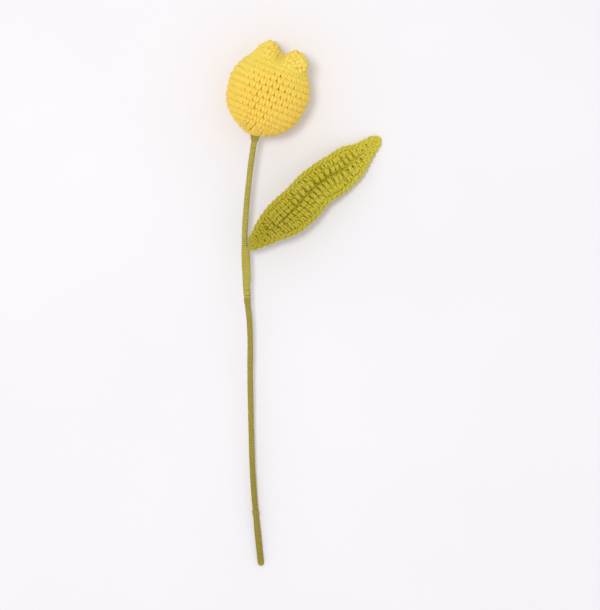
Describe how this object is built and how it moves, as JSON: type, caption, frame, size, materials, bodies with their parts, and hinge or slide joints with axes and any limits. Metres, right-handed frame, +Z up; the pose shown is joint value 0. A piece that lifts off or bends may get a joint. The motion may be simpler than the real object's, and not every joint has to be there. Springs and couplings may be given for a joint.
{
  "type": "crocheted tulip",
  "caption": "Crocheted tulip lying down: a stuffed bloom with a four-lobed sewn mouth on a thread-wrapped wire stem with one crocheted leaf.",
  "frame": {"origin": "middle of the bounding box in plan, on the table top that the flower lies on", "axes": "+Y along the flower towards the bloom's mouth, +X to the side the leaf is on, +Z up from the table"},
  "size_m": [0.1084, 0.3655, 0.0565],
  "materials": {
    "bloom_yarn": "soft plied yellow yarn in single crochet",
    "stuffing_fibre": "loose undyed fibre",
    "stem_thread": "olive green thread wound in close turns",
    "leaf_yarn": "soft plied olive green yarn in crochet",
    "wire_steel": "plain drawn wire"
  },
  "bodies": {
    "root": {"bloom_cover": "bloom_yarn", "bloom_filling": "stuffing_fibre", "closing_stitch": "bloom_yarn", "collar_winding": "stem_thread", "upper_stem_winding": "stem_thread", "joint_winding": "stem_thread", "lower_stem_winding": "stem_thread", "winding_knot": "stem_thread", "foot_winding": "stem_thread", "leaf_blade": "leaf_yarn", "stem_wire": "wire_steel", "leaf_wire": "wire_steel"}
  },
  "joints": []
}
